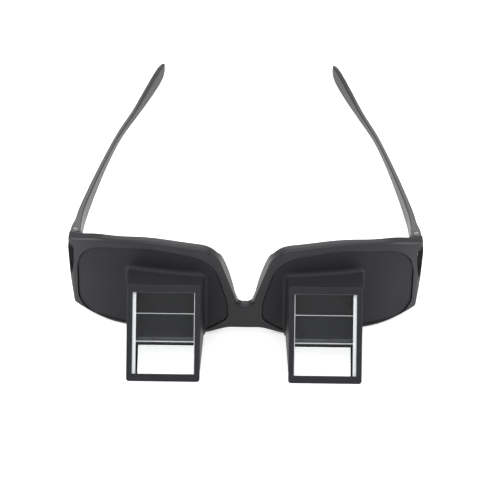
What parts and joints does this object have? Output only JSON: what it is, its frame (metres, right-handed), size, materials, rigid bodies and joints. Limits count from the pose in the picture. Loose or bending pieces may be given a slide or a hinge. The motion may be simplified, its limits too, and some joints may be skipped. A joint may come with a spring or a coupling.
{
  "type": "prism bed glasses",
  "caption": "Opaque wraparound glasses with a glass prism box before each eye that turns the view through a right angle, on folding temples.",
  "frame": {"origin": "middle of the front face's foremost line, on the level of the brow edge that the glasses stand on", "axes": "+X across the face, +Y from the front towards the temple tips, +Z from the brow towards the cheeks, so the glasses lie upside down on their brow edge"},
  "size_m": [0.1484, 0.1792, 0.0451],
  "materials": {
    "frame_plastic": "satin moulded",
    "panel_plastic": "fine matte moulded",
    "bezel_plastic": "satin moulded",
    "temple_plastic": "satin moulded",
    "prism_glass": "polished, ground sides",
    "silvering": "silvered",
    "screw_steel": "turned",
    "nut_steel": "plated"
  },
  "bodies": {
    "front": {"front_frame": "frame_plastic", "left_panel": "panel_plastic", "left_bezel": "bezel_plastic", "left_prism": "prism_glass", "left_reflector": "silvering", "left_eyepiece": "bezel_plastic", "right_panel": "panel_plastic", "right_bezel": "bezel_plastic", "right_prism": "prism_glass", "right_reflector": "silvering", "right_eyepiece": "bezel_plastic"},
    "left_temple": {"left_temple": "temple_plastic", "left_hinge_screw": "screw_steel", "left_hinge_nut": "nut_steel"},
    "right_temple": {"right_temple": "temple_plastic", "right_hinge_screw": "screw_steel", "right_hinge_nut": "nut_steel"}
  },
  "joints": [
    {"name": "left_temple_fold", "type": "hinge", "parent": "front", "child": "left_temple", "pos_m": [-0.071, 0.02413, 0.0324], "axis": [0, 0, -1], "range_deg": [0, 80]},
    {"name": "right_temple_fold", "type": "hinge", "parent": "front", "child": "right_temple", "pos_m": [0.071, 0.02413, 0.0324], "axis": [0, 0, 1], "range_deg": [0, 70]}
  ]
}
